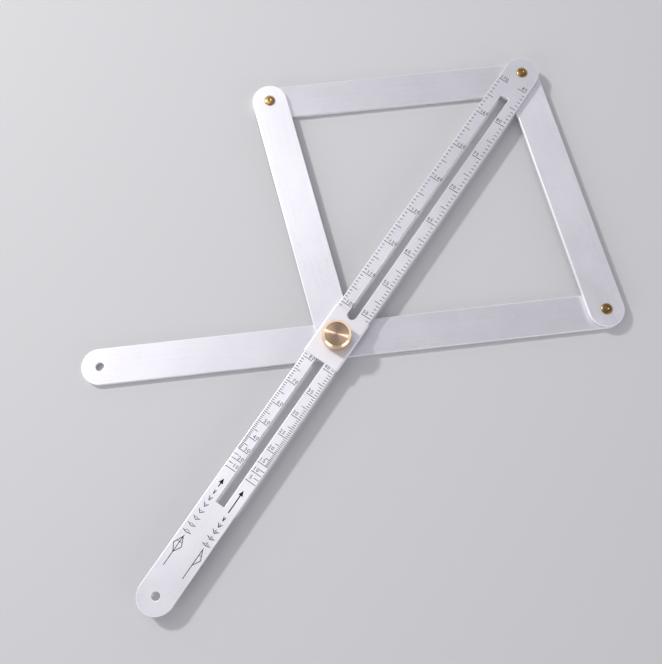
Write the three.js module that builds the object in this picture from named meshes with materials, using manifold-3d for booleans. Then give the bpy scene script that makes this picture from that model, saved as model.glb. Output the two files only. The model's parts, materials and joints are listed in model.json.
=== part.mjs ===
// Corner angle finder, also called an angle bisector. Five flat aluminium bars make a folding rhombus.
// The slotted scale bar runs along its diagonal and one side carries on past the clamp as a long arm.
// Millimetres, +Z up. The origin is the top pivot's axis on the underside, and the scale bar runs along +X.
import * as THREE from "three";
import { mergeVertices } from "three/addons/utils/BufferGeometryUtils.js";
import Module from "manifold-3d";

const wasm = await Module();
wasm.setup();

// Linkage
const LINK_LENGTH = 112.8; // pivot to pivot on each side of the rhombus
const REST_ANGLE = 98.4; // included angle between the two links at the top pivot, degrees
const SCALE_LOW_ANGLE = 10; // smallest angle on the scale, degrees
const SCALE_HIGH_ANGLE = 170; // largest angle on the scale, degrees
const ARM_OVERHANG = 97.2; // from the clamp pivot to the long arm's hanging hole
const SCALE_TAIL = 40.9; // from the end of the slot to the scale bar's hanging hole

// Bar stock
const BAR_WIDTH = 15;
const BAR_THICKNESS = 2;
const EDGE_BREAK = 0.15; // 45 degree chamfer on every long edge
const HANGING_HOLE = 3.4; // diameter

// Slot, around the clamp screw
const SLOT_CLEARANCE = 0.1; // each side of the screw
const SLOT_TOP_ROOM = 3.2; // past the screw at the largest angle
const SLOT_TAIL_ROOM = 1.3; // past the screw at the smallest angle

// Rivets
const RIVET_SHANK = 3; // diameter
const RIVET_HEAD = 4.8; // diameter of the domed head
const RIVET_RIM = 0.25; // upright edge of the head
const RIVET_DOME = 0.55; // rise of the dome above that edge
const RIVET_TAIL = 4.4; // diameter of the flush tail set into the lowest bar
const DIMPLE_RADIUS = 0.6;
const DIMPLE_DEPTH = 0.15;

// Shims between the layers
const SHIM_DIAMETER = 9;
const SHIM_THICKNESS = 0.2;
const AXIAL_PLAY = 0.03; // left between a shim and the bar that turns over it
const PIVOT_CLEARANCE = 0.08; // between a shank and the hole that turns round it

// Cursor, a folded plate that straddles the scale bar
const CURSOR_LENGTH = 23.4;
const CURSOR_SHEET = 0.6;
const CURSOR_SIDE_CLEARANCE = 0.05;
const CURSOR_TOP_CLEARANCE = 0.04;
const CURSOR_INNER_BEND = 0.25;
const CURSOR_SKIRT_SHORTFALL = 0.2; // how far the skirts stop short of the scale bar's underside
const NOTCH_DEPTH = 2.4;

// Clamp
const SCREW_DIAMETER = 3.9;
const SCREW_HEAD = 7.2; // diameter of the flush head
const SCREW_GROOVE_WIDTH = 0.9;
const SCREW_GROOVE_DEPTH = 0.7;
const WASHER_DIAMETER = 9;
const WASHER_THICKNESS = 0.6;
const NUT_DIAMETER = 12;
const NUT_HEIGHT = 5.2;
const NUT_FACE = 9.8; // diameter of the flat turned face
const NUT_BEVEL_HEIGHT = 0.8;
const NUT_BASE_BREAK = 0.3;
const NUT_CAP = 1.4; // metal left over the blind thread
const THREAD_END_ROOM = 0.5; // between the end of the screw and the bottom of that thread
const KNURL_TEETH = 60;
const KNURL_DEPTH = 0.25;

const FACETS = 32; // sides of a full circle
const CUTTER_OVERRUN = 1; // how far a cutting shape runs past the face it cuts

// Levels, from the floor up
const LAYER_PITCH = BAR_THICKNESS + SHIM_THICKNESS + AXIAL_PLAY;
const LOW_LAYER = 0;
const MIDDLE_LAYER = LOW_LAYER + LAYER_PITCH;
const SCALE_LAYER = MIDDLE_LAYER + LAYER_PITCH;
const SCALE_TOP = SCALE_LAYER + BAR_THICKNESS;
const CURSOR_TOP = SCALE_TOP + CURSOR_TOP_CLEARANCE + CURSOR_SHEET;
const WASHER_TOP = CURSOR_TOP + WASHER_THICKNESS;
const NUT_BASE = WASHER_TOP + AXIAL_PLAY;

// Places along the scale bar
const radians = THREE.MathUtils.degToRad;
const HALF_ANGLE = radians(REST_ANGLE / 2);
const clampAt = (includedDegrees) => 2 * LINK_LENGTH * Math.cos(radians(includedDegrees / 2));
const CLAMP_X = clampAt(REST_ANGLE);
const SLOT_WIDTH = SCREW_DIAMETER + 2 * SLOT_CLEARANCE;
const SLOT_START = clampAt(SCALE_HIGH_ANGLE) - SCREW_DIAMETER / 2 - SLOT_TOP_ROOM;
const SLOT_END = clampAt(SCALE_LOW_ANGLE) + SCREW_DIAMETER / 2 + SLOT_TAIL_ROOM;
const SCALE_HOLE_X = SLOT_END + SCALE_TAIL;

const aluminium = (colour) =>
  new THREE.MeshStandardMaterial({ color: colour, roughness: 0.42, metalness: 0.85 });
const brass = (colour) =>
  new THREE.MeshStandardMaterial({ color: colour, roughness: 0.28, metalness: 1 });
const plastic = (colour) =>
  new THREE.MeshStandardMaterial({ color: colour, roughness: 0.6, metalness: 0 });

// A closed three.js geometry as a manifold-3d solid.
function solid(geometry) {
  const bare = geometry.clone();
  bare.deleteAttribute("normal");
  bare.deleteAttribute("uv");
  const merged = mergeVertices(bare, 1e-4);
  return new wasm.Manifold(
    new wasm.Mesh({
      numProp: 3,
      vertProperties: new Float32Array(merged.attributes.position.array),
      triVerts: new Uint32Array(merged.index.array),
    }),
  );
}

// A manifold-3d solid as a named three.js mesh.
function meshOf(name, body, material) {
  const { vertProperties, triVerts } = body.getMesh();
  const geometry = new THREE.BufferGeometry();
  geometry.setAttribute("position", new THREE.BufferAttribute(vertProperties, 3));
  geometry.setIndex(new THREE.BufferAttribute(triVerts, 1));
  geometry.computeVertexNormals();
  const mesh = new THREE.Mesh(geometry, material);
  mesh.name = name;
  return mesh;
}

// A profile of [radius, height] points turned about Z, from the lowest point on the axis to the highest.
function turned(profile) {
  const points = profile.map(([radius, height]) => new THREE.Vector2(radius, height));
  return solid(new THREE.LatheGeometry(points, FACETS).rotateX(Math.PI / 2));
}

// A straight bar with fully round ends, its first centre at the origin and its second at x = length.
function barBlank(length) {
  const radius = BAR_WIDTH / 2;
  const outline = new THREE.Shape();
  outline.absarc(0, 0, radius, Math.PI / 2, (3 * Math.PI) / 2);
  outline.absarc(length, 0, radius, -Math.PI / 2, Math.PI / 2);
  const geometry = new THREE.ExtrudeGeometry(outline, {
    depth: BAR_THICKNESS - 2 * EDGE_BREAK,
    bevelThickness: EDGE_BREAK,
    bevelSize: EDGE_BREAK,
    bevelOffset: -EDGE_BREAK,
    bevelSegments: 1,
    curveSegments: FACETS / 2,
  });
  return solid(geometry.translate(0, 0, EDGE_BREAK));
}

// A drill for a plain hole through one bar.
function drill(x, diameter) {
  const radius = diameter / 2;
  const top = BAR_THICKNESS + CUTTER_OVERRUN;
  return turned([
    [0, -CUTTER_OVERRUN],
    [radius, -CUTTER_OVERRUN],
    [radius, top],
    [0, top],
  ]).translate([x, 0, 0]);
}

// A drill that also sinks a 45 degree seat into the underside for a flush head or tail.
function seatDrill(x, shank, head) {
  const hole = shank / 2 + PIVOT_CLEARANCE;
  const mouth = head / 2 + PIVOT_CLEARANCE;
  const top = BAR_THICKNESS + CUTTER_OVERRUN;
  return turned([
    [0, -CUTTER_OVERRUN],
    [mouth + CUTTER_OVERRUN, -CUTTER_OVERRUN],
    [hole, mouth - hole],
    [hole, top],
    [0, top],
  ]).translate([x, 0, 0]);
}

const PIVOT_HOLE = RIVET_SHANK + 2 * PIVOT_CLEARANCE;
const SCREW_HOLE = SCREW_DIAMETER + 2 * PIVOT_CLEARANCE;

// One of the plain links, drilled at both ends with the cutters given.
function link(length, cutters) {
  return cutters.reduce((body, cutter) => body.subtract(cutter), barBlank(length));
}

function scaleBar() {
  const length = SLOT_END - SLOT_START;
  const slot = new THREE.BoxGeometry(length, SLOT_WIDTH, BAR_THICKNESS + 2 * CUTTER_OVERRUN);
  slot.translate(SLOT_START + length / 2, 0, BAR_THICKNESS / 2);
  return link(SCALE_HOLE_X, [
    drill(0, PIVOT_HOLE),
    drill(SCALE_HOLE_X, HANGING_HOLE),
    solid(slot),
  ]);
}

// A rivet whose flush tail lies on the floor and whose domed head bears on the bar at headLevel.
function rivet(headLevel) {
  const shank = RIVET_SHANK / 2;
  const tail = RIVET_TAIL / 2;
  const head = RIVET_HEAD / 2;
  const rimTop = headLevel + RIVET_RIM;
  const crown = rimTop + RIVET_DOME;
  const steps = 5;
  const dome = [];
  for (let i = 0; i < steps; i++) {
    const radius = head + ((DIMPLE_RADIUS - head) * i) / (steps - 1);
    const outward = (radius - DIMPLE_RADIUS) / (head - DIMPLE_RADIUS);
    dome.push([radius, rimTop + RIVET_DOME * (1 - outward ** 2)]);
  }
  return turned([
    [0, 0],
    [tail, 0],
    [shank, tail - shank],
    [shank, headLevel],
    [head, headLevel],
    ...dome,
    [0, crown - DIMPLE_DEPTH],
  ]);
}

// A flat ring that starts at level, with a hole of its own diameter.
function ring(outer, inner, thickness, level) {
  return turned([
    [inner / 2, level],
    [outer / 2, level],
    [outer / 2, level + thickness],
    [inner / 2, level + thickness],
    [inner / 2, level],
  ]);
}

const rivetShim = (level) => ring(SHIM_DIAMETER, PIVOT_HOLE, SHIM_THICKNESS, level);
const screwShim = (level) => ring(SHIM_DIAMETER, SCREW_HOLE, SHIM_THICKNESS, level);

// The cursor's section is an arch of sheet, folded down on both sides of the scale bar.
function cursor() {
  const inner = BAR_WIDTH / 2 + CURSOR_SIDE_CLEARANCE;
  const outer = inner + CURSOR_SHEET;
  const ceiling = SCALE_TOP + CURSOR_TOP_CLEARANCE;
  const skirt = SCALE_LAYER + CURSOR_SKIRT_SHORTFALL;
  const outerBend = CURSOR_INNER_BEND + CURSOR_SHEET;
  const bendX = inner - CURSOR_INNER_BEND;
  const bendY = ceiling - CURSOR_INNER_BEND;
  const section = new THREE.Shape();
  section.moveTo(-outer, skirt);
  section.lineTo(-inner, skirt);
  section.absarc(-bendX, bendY, CURSOR_INNER_BEND, Math.PI, Math.PI / 2, true);
  section.absarc(bendX, bendY, CURSOR_INNER_BEND, Math.PI / 2, 0, true);
  section.lineTo(inner, skirt);
  section.lineTo(outer, skirt);
  section.absarc(bendX, bendY, outerBend, 0, Math.PI / 2);
  section.absarc(-bendX, bendY, outerBend, Math.PI / 2, Math.PI);
  section.closePath();
  const arch = new THREE.ExtrudeGeometry(section, {
    depth: CURSOR_LENGTH,
    bevelEnabled: false,
    curveSegments: 6,
  });
  arch.translate(0, 0, -CURSOR_LENGTH / 2).rotateX(Math.PI / 2).rotateZ(Math.PI / 2);
  const notchRadius = SLOT_WIDTH / 2;
  const notchCentre = -CURSOR_LENGTH / 2 + NOTCH_DEPTH - notchRadius;
  const cutDepth = CURSOR_SHEET + 2 * CUTTER_OVERRUN;
  const notch = new THREE.Shape();
  notch.absarc(notchCentre, 0, notchRadius, -Math.PI / 2, Math.PI / 2);
  notch.lineTo(-CURSOR_LENGTH / 2 - CUTTER_OVERRUN, notchRadius);
  notch.lineTo(-CURSOR_LENGTH / 2 - CUTTER_OVERRUN, -notchRadius);
  notch.closePath();
  const notchCut = new THREE.ExtrudeGeometry(notch, {
    depth: cutDepth,
    bevelEnabled: false,
    curveSegments: FACETS / 2,
  }).translate(0, 0, ceiling - CUTTER_OVERRUN);
  const holeCut = drill(0, SCREW_HOLE).translate([0, 0, ceiling - CUTTER_OVERRUN / 2]);
  return solid(arch).subtract(solid(notchCut)).subtract(holeCut);
}

function clampScrew() {
  const shank = SCREW_DIAMETER / 2;
  const head = SCREW_HEAD / 2;
  const tip = NUT_BASE + NUT_HEIGHT - NUT_CAP - THREAD_END_ROOM;
  const tipBreak = SCREW_DIAMETER / 10;
  const body = turned([
    [0, 0],
    [head, 0],
    [shank, head - shank],
    [shank, tip - tipBreak],
    [shank - tipBreak, tip],
    [0, tip],
  ]);
  const groove = new THREE.BoxGeometry(SCREW_HEAD + CUTTER_OVERRUN, SCREW_GROOVE_WIDTH, 2 * SCREW_GROOVE_DEPTH);
  return body.subtract(solid(groove));
}

// The thumb nut is a toothed prism trimmed by a turned envelope, over a blind bore.
function thumbNut() {
  const radius = NUT_DIAMETER / 2;
  const top = NUT_BASE + NUT_HEIGHT;
  const bore = SCREW_HOLE / 2;
  const teeth = new THREE.Shape();
  for (let i = 0; i < 2 * KNURL_TEETH; i++) {
    const reach = i % 2 ? radius - KNURL_DEPTH : radius;
    const angle = (i * Math.PI) / KNURL_TEETH;
    const place = [reach * Math.cos(angle), reach * Math.sin(angle)];
    if (i) teeth.lineTo(...place);
    else teeth.moveTo(...place);
  }
  teeth.closePath();
  const prism = new THREE.ExtrudeGeometry(teeth, { depth: NUT_HEIGHT, bevelEnabled: false });
  prism.translate(0, 0, NUT_BASE);
  const envelope = turned([
    [0, NUT_BASE],
    [radius - NUT_BASE_BREAK, NUT_BASE],
    [radius + KNURL_DEPTH, NUT_BASE + NUT_BASE_BREAK + KNURL_DEPTH],
    [radius + KNURL_DEPTH, top - NUT_BEVEL_HEIGHT],
    [radius, top - NUT_BEVEL_HEIGHT],
    [NUT_FACE / 2, top],
    [0, top],
  ]);
  const thread = turned([
    [0, NUT_BASE - CUTTER_OVERRUN],
    [bore, NUT_BASE - CUTTER_OVERRUN],
    [bore, top - NUT_CAP],
    [0, top - NUT_CAP],
  ]);
  return solid(prism).intersect(envelope).subtract(thread);
}

// A group that holds pieces round one pivot, turned by an angle about Z.
function pivotGroup(x, turn, ...pieces) {
  const group = new THREE.Group();
  group.position.x = x;
  group.rotation.z = turn;
  group.add(...pieces);
  return group;
}

function raised(piece, level) {
  piece.position.z = level;
  return piece;
}

const pale = 0xd6d5df;
const topLinkBody = link(LINK_LENGTH, [
  seatDrill(0, RIVET_SHANK, RIVET_TAIL),
  seatDrill(LINK_LENGTH, RIVET_SHANK, RIVET_TAIL),
]);
const leftLinkBody = link(LINK_LENGTH, [drill(0, PIVOT_HOLE), drill(LINK_LENGTH, SCREW_HOLE)]);
const rightLinkBody = link(LINK_LENGTH, [drill(0, PIVOT_HOLE), drill(LINK_LENGTH, PIVOT_HOLE)]);
const longArmBody = link(LINK_LENGTH + ARM_OVERHANG, [
  seatDrill(0, RIVET_SHANK, RIVET_TAIL),
  seatDrill(LINK_LENGTH, SCREW_DIAMETER, SCREW_HEAD),
  drill(LINK_LENGTH + ARM_OVERHANG, HANGING_HOLE),
]);

// Left side of the rhombus: the top link lies lowest and the left link crosses over its far end.
const leftLink = pivotGroup(
  LINK_LENGTH,
  2 * HALF_ANGLE,
  raised(meshOf("left_link", leftLinkBody, aluminium(pale)), MIDDLE_LAYER),
  meshOf("left_rivet", rivet(MIDDLE_LAYER + BAR_THICKNESS), brass(0x9c7430)),
);
const topLink = pivotGroup(
  0,
  -HALF_ANGLE,
  raised(meshOf("top_link", topLinkBody, aluminium(pale)), LOW_LAYER),
  meshOf("top_shim_lower", rivetShim(BAR_THICKNESS), plastic(0xe6e4de)),
  leftLink,
);
topLink.add(pivotGroup(LINK_LENGTH, 0, meshOf("left_shim", rivetShim(BAR_THICKNESS), plastic(0xe6e4de))));

// Right side: the right link shares the top pivot and the long arm runs back under the scale bar.
const longArm = pivotGroup(
  LINK_LENGTH,
  -2 * HALF_ANGLE,
  raised(meshOf("long_arm", longArmBody, aluminium(pale)), LOW_LAYER),
  meshOf("right_shim", rivetShim(BAR_THICKNESS), plastic(0xe6e4de)),
);
longArm.add(
  pivotGroup(LINK_LENGTH, 0, meshOf("clamp_shim_lower", screwShim(BAR_THICKNESS), plastic(0xe6e4de))),
);
const rightLink = pivotGroup(
  0,
  HALF_ANGLE,
  raised(meshOf("right_link", rightLinkBody, aluminium(pale)), MIDDLE_LAYER),
  meshOf("top_shim_upper", rivetShim(MIDDLE_LAYER + BAR_THICKNESS), plastic(0xe6e4de)),
  longArm,
);
rightLink.add(
  pivotGroup(LINK_LENGTH, 0, meshOf("right_rivet", rivet(MIDDLE_LAYER + BAR_THICKNESS), brass(0x9c7430))),
);

// The clamp stands on its own pivot over the slot.
const clamp = pivotGroup(
  CLAMP_X,
  0,
  meshOf("clamp_shim_upper", screwShim(MIDDLE_LAYER + BAR_THICKNESS), plastic(0xe6e4de)),
  meshOf("clamp_screw", clampScrew(), brass(0xb08d4a)),
  meshOf("cursor", cursor(), aluminium(0xe4e3ec)),
  meshOf("clamp_washer", ring(WASHER_DIAMETER, SCREW_HOLE, WASHER_THICKNESS, CURSOR_TOP), brass(0xb08d4a)),
  meshOf("thumb_nut", thumbNut(), brass(0xb9935a)),
);

const angleFinder = new THREE.Group();
angleFinder.add(
  raised(meshOf("scale_bar", scaleBar(), aluminium(0xdcdbe6)), SCALE_LAYER),
  meshOf("top_rivet", rivet(SCALE_TOP), brass(0x9c7430)),
  topLink,
  rightLink,
  clamp,
);

export default angleFinder;
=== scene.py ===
# %% [markdown]
# # A corner angle finder, built as a lesson
# Four flat aluminium bars make a folding rhombus. A fifth, slotted and printed with a scale, lies
# along its middle. Three brass rivets join them, and a folded sheet cursor and a knurled brass nut
# ride along the slot. The measured model is loaded first and is the ruler for everything here: this
# file adds the surfaces that the eye reads, and moves nothing. Each cell makes one piece or one
# finish, and says what it is on the real tool and why it is made this way.

# %% Load the measured model
import json

import bpy
import numpy as np
from mathutils import Matrix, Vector
from mathutils.geometry import tessellate_polygon


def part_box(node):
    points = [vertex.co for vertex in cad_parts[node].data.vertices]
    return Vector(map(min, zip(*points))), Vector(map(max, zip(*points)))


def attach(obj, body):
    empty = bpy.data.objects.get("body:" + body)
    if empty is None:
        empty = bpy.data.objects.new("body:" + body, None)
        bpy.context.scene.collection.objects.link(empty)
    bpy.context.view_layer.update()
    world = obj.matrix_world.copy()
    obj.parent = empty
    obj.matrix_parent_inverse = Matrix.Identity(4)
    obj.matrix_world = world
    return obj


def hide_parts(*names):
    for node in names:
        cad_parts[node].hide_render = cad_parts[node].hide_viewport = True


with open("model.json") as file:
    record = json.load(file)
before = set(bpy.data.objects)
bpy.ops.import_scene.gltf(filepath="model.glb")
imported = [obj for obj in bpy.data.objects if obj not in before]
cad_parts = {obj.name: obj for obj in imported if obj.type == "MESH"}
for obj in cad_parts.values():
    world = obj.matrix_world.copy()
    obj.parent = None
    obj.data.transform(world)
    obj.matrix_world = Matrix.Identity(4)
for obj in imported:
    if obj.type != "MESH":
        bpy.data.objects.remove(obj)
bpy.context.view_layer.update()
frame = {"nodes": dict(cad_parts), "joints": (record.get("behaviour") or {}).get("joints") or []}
MM = 0.001

# %% [markdown]
# ## Where the pivots are
# The linkage has four pivots: the top, the left, the right and the clamp in the slot. The joints of
# the measured model give them, so every bar is drawn from one pivot to the next and fits without
# any nudging.

# %% Pivots, levels and the bars' common sizes
joint_place = {j["name"]: np.array(j["pos_m"][:2]) / MM for j in frame["joints"]}
TOP, LEFT = joint_place["fold"], joint_place["left_pivot"]
RIGHT, CLAMP = joint_place["right_pivot"], joint_place["clamp_pivot"]
LINK = float(np.linalg.norm(RIGHT - TOP))


def box_mm(node):
    """Lowest and highest corner of a node, in millimetres."""
    low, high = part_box(node)
    return np.array(low) / MM, np.array(high) / MM


scale_low, scale_high = box_mm("scale_bar")
BAR_HALF = float(scale_high[1])
SCALE_TOP = float(scale_high[2])
print("link", round(LINK, 2), "bar half width", round(BAR_HALF, 2),
      "scale top", round(SCALE_TOP, 2))

# %% [markdown]
# ## From arrays to a mesh
# A surface here is a table of points worked out all at once. This cell is the one place where a
# table becomes a mesh: it copies points, faces, a flat map in millimetres and any extra layer in
# single calls, which stays quick with a hundred thousand faces. The object stays at the origin, as
# the model's own do.

# %% The mesh maker
pieces_made = {}


def into_scene(name, data):
    """A new object for the data, linked into the scene."""
    made = bpy.data.objects.new(name, data)
    bpy.context.scene.collection.objects.link(made)
    return made


def make_piece(name, points, groups, body, stands_for=(), flat_map=None, layers=None):
    """Points are millimetres, one row each. A group is (faces, smooth, material index), and faces
    hold three or four point numbers a row. flat_map gives each point's place on the unrolled
    surface."""
    corners = np.concatenate([faces.ravel() for faces, _, _ in groups])
    sides, smooth, finish = np.concatenate([
        np.tile([faces.shape[1], shade, index], (len(faces), 1)) for faces, shade, index in groups]).T
    starts = np.concatenate([[0], np.cumsum(sides)[:-1]])
    mesh = bpy.data.meshes.new(name)
    mesh.vertices.add(len(points))
    mesh.vertices.foreach_set("co", (np.asarray(points) * MM).astype(np.float32).ravel())
    mesh.loops.add(len(corners))
    mesh.loops.foreach_set("vertex_index", corners.astype(np.int32))
    mesh.polygons.add(len(sides))
    mesh.polygons.foreach_set("loop_start", starts.astype(np.int32))
    mesh.polygons.foreach_set("use_smooth", smooth.astype(bool))
    mesh.polygons.foreach_set("material_index", finish.astype(np.int32))
    mesh.update(calc_edges=True)
    if flat_map is not None:
        flat_map = np.asarray(flat_map)
        per_corner = flat_map if len(flat_map) == len(corners) else flat_map[corners]
        flat_layer = mesh.uv_layers.new(name="flat_mm").data
        flat_layer.foreach_set("uv", per_corner.astype(np.float32).ravel())
    for label, values in (layers or {}).items():
        layer = mesh.attributes.new(label, "FLOAT", "POINT").data
        layer.foreach_set("value", values.astype(np.float32))
    mesh.validate()
    piece = into_scene(name, mesh)
    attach(piece, body)
    if stands_for:
        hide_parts(*stands_for)
    pieces_made[name] = piece
    print(name, len(points), "points", len(sides), "faces")
    return piece


# %% [markdown]
# ## Grids
# Most metal pieces are a grid: one direction runs along a profile, the other round an axis or along
# an outline. A grid that closes on itself joins its last column to its first, so there is no seam.

# %% Faces of a grid
def grid_faces(rows, columns, around=True, up=False):
    """Quads between neighbouring rows and columns. around joins the last column to the first, and
    up joins the last row to the first. Point number is row times columns plus column."""
    r = np.arange(rows if up else rows - 1)
    c = np.arange(columns if around else columns - 1)
    r, c = (a.ravel() for a in np.meshgrid(r, c, indexing="ij"))
    r2, c2 = (r + 1) % rows, (c + 1) % columns
    quads = np.stack([r * columns + c, r * columns + c2,
                      r2 * columns + c2, r2 * columns + c], axis=1)
    corner_rc = np.stack([[r, c], [r, c + 1], [r + 1, c + 1], [r + 1, c]], axis=0)
    return quads, corner_rc.transpose(2, 0, 1).reshape(-1, 2)


def arc(start, end, steps):
    """Evenly spaced angles from start to end, in degrees, given back in radians."""
    return np.radians(np.linspace(start, end, steps))


def on_circle(angles):
    """Points on a circle of radius one, a row for each angle."""
    return np.stack([np.cos(angles), np.sin(angles)], axis=1)


# %% [markdown]
# ## A flat bar with rolled edges
# Each bar is punched from 15 mm strip and tumbled, which rolls its edges over by a few tenths of a
# millimetre. That thin roll is what draws the bright line along every bar. A plain box would have
# none, so the bar is an edge profile carried along its outline and round each hole, closed by two
# flat faces.

# %% Outlines and edge profiles
ROLL_IN = 0.27
ROLL_DOWN = 0.22
REST_STRIP = 0.04
SEAT_EDGE = 0.03


def capsule(length, steps=49):
    """Outline of a bar with round ends: half circles about (length, 0) and (0, 0), whose ends are
    joined by the straight sides. Gives the points and the directions that point out of the
    metal."""
    far, near = arc(-90, 90, steps), arc(90, 270, steps)
    outward = on_circle(np.append(far, near))
    middles = np.repeat([[length, 0.0], [0.0, 0.0]], steps, axis=0)
    return middles + outward * BAR_HALF, outward


def round_hole(x, radius, steps=64):
    """A circle about (x, 0), walked clockwise, so that its outward direction is towards its
    middle."""
    way = on_circle(arc(0, -360, steps + 1)[:-1])
    return way * radius + [x, 0], -way


def slot_hole(start, end, half, corner=0.25, steps=7):
    """A long rectangle with small round corners, walked clockwise."""
    middles = [(end - corner, half - corner), (end - corner, corner - half),
               (start + corner, corner - half), (start + corner, half - corner)]
    way = [on_circle(arc(turn, turn - 90, steps)) for turn in (90, 0, -90, -180)]
    points = np.concatenate([w * corner + m for w, m in zip(way, middles)])
    return points, -np.concatenate(way)


def edge_profile(thickness, roll_in=ROLL_IN, roll_down=ROLL_DOWN, seat=0.0, steps=7):
    """Rows of (inset, height, wear) from the underside to the top. Each rolled edge is a quarter
    ellipse. seat is how far a sunk rivet seat opens at the underside, at 45 degrees."""
    q = arc(0, 90, steps)
    top = np.stack([roll_in * (1 - np.cos(q)), thickness - roll_down * (1 - np.sin(q))], axis=1)
    if seat:
        low = np.array([[seat + REST_STRIP, 0.0], [seat, 0.0], [seat - SEAT_EDGE, SEAT_EDGE],
                        [SEAT_EDGE, seat - SEAT_EDGE], [0.0, seat + 0.01]])
    else:
        low = np.stack([roll_in * (1 - np.cos(q)), roll_down * (1 - np.sin(q))], axis=1)[::-1]
        low = np.concatenate([[[roll_in + REST_STRIP, 0.0]], low])
    rows = np.concatenate([low, top, [[roll_in + REST_STRIP, thickness]]])
    wear = np.concatenate([[0.0], np.ones(len(rows) - 2), [0.0]])
    return rows, wear


BAR_THICK = SCALE_TOP - float(scale_low[2])
rim = edge_profile(BAR_THICK)

# %% [markdown]
# The flat faces are cut into triangles between the outline and the holes, and shaded flat. Because
# they are truly flat, long triangles do no harm. The rolled rows are shaded smooth, and a narrow
# strip in the plane of each face keeps that smoothness from leaking into it.

# %% The bar maker
def flat_face(loops, first_numbers, upward):
    """Triangles that fill the outermost loop less the others. Their turning sense is set by the
    sign of the area of each, so that the face looks up or down as asked."""
    tri = np.array(tessellate_polygon([[(x, y, 0.0) for x, y in loop] for loop in loops]))
    flat = np.concatenate(loops)
    a, b, c = (flat[tri[:, i]] for i in range(3))
    area = (b[:, 0] - a[:, 0]) * (c[:, 1] - a[:, 1]) - (c[:, 0] - a[:, 0]) * (b[:, 1] - a[:, 1])
    keep = np.abs(area) > 1e-9
    tri, area = tri[keep], area[keep]
    wrong = (area > 0) != upward
    tri[wrong] = tri[wrong][:, ::-1]
    return np.concatenate(first_numbers)[tri]


def make_bar(node, start, towards, length, holes, body):
    """A flat bar from start in the direction of towards, in place of the node. Its outline and each
    hole are (points, outward, rows, wear), in the bar's own plane, and the place of a point is the
    point less outward times inset, at the row's height."""
    low, high = box_mm(node)
    way = (towards - start) / np.linalg.norm(towards - start)
    turn = np.array([[way[0], -way[1]], [way[1], way[0]]])
    points, flat, wear_layer, groups = [], [], [], []
    flats = ([], []), ([], [])
    count = 0
    for outline, outward, rows, wear in [(*capsule(length), *rim), *holes]:
        place = outline[None] - outward[None] * rows[:, :1, None]
        n = outline.shape[0]
        height = np.repeat(rows[:, 1], n)
        local = place.reshape(-1, 2)
        points.append(np.column_stack([local @ turn.T + start, height + low[2]]))
        flat.append(local)
        wear_layer.append(np.repeat(wear, n))
        quads, _ = grid_faces(len(rows), n)
        groups.append((quads + count, True, 0))
        for (loops, numbers), row in zip(flats, (0, len(rows) - 1)):
            loops.append(place[row])
            numbers.append(np.arange(n) + count + n * row)
        count += n * len(rows)
    for (loops, numbers), upward in zip(flats, (False, True)):
        groups.append((flat_face(loops, numbers, upward), False, 0))
    print(node, "runs", round(length, 2), "mm, thickness", round(high[2] - low[2], 2))
    return make_piece("fine_" + node, np.concatenate(points), groups, body, (node,),
                      np.concatenate(flat), {"edge_wear": np.concatenate(wear_layer)})


# %% [markdown]
# ## The five bars
# The four sides of the rhombus differ only in their length and their holes. Two lie lowest and have
# seats sunk into the underside for the flush rivet tails, two cross over them, and the scale bar
# lies on top.

# %% Sides of the rhombus
PIVOT_HOLE = 1.58
SCREW_HOLE = 2.03
HANG_HOLE = 1.7
RIVET_SEAT = 2.28 - PIVOT_HOLE
SCREW_SEAT = 3.68 - SCREW_HOLE
HOLE_ROLL = 0.12
plain = edge_profile(BAR_THICK, HOLE_ROLL, HOLE_ROLL)
hang_rim = edge_profile(BAR_THICK, 0.22, 0.22)
arm_low, arm_high = box_mm("long_arm")
arm_way = (CLAMP - RIGHT) / LINK
ARM_LENGTH = float((arm_low[1] + BAR_HALF - RIGHT[1]) / arm_way[1])


def drilled(*holes):
    """Outlines for round holes, each (distance along the bar, radius, edge profile)."""
    return [(*round_hole(x, radius), *profile) for x, radius, profile in holes]


def seated(seat):
    """Edge profile of a hole whose underside opens at 45 degrees to take a flush head."""
    return edge_profile(BAR_THICK, HOLE_ROLL, HOLE_ROLL, seat)


sides = (
    ("top_link", TOP, LEFT, LINK, "top_side", (
        (0, PIVOT_HOLE, seated(RIVET_SEAT)), (LINK, PIVOT_HOLE, seated(RIVET_SEAT)))),
    ("left_link", LEFT, CLAMP, LINK, "left_side", (
        (0, PIVOT_HOLE, plain), (LINK, SCREW_HOLE, plain))),
    ("right_link", TOP, RIGHT, LINK, "right_side", (
        (0, PIVOT_HOLE, plain), (LINK, PIVOT_HOLE, plain))),
    ("long_arm", RIGHT, CLAMP, ARM_LENGTH, "arm", (
        (0, PIVOT_HOLE, seated(RIVET_SEAT)), (LINK, SCREW_HOLE, seated(SCREW_SEAT)),
        (ARM_LENGTH, HANG_HOLE, hang_rim))))
for node, start, towards, length, body, holes in sides:
    make_bar(node, start, towards, length, drilled(*holes), body)

# %% [markdown]
# ## The scale bar
# The screw of the clamp runs in a long slot. For an included angle the clamp stands at twice the
# link times the cosine of half the angle, so the slot runs from a little before 170 degrees to a
# little past 10.

# %% Scale bar with its slot
def clamp_at(included):
    """Place of the clamp along the scale bar: two links times the cosine of half the included
    angle."""
    return 2 * LINK * np.cos(np.radians(np.asarray(included, float) / 2))


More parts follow.
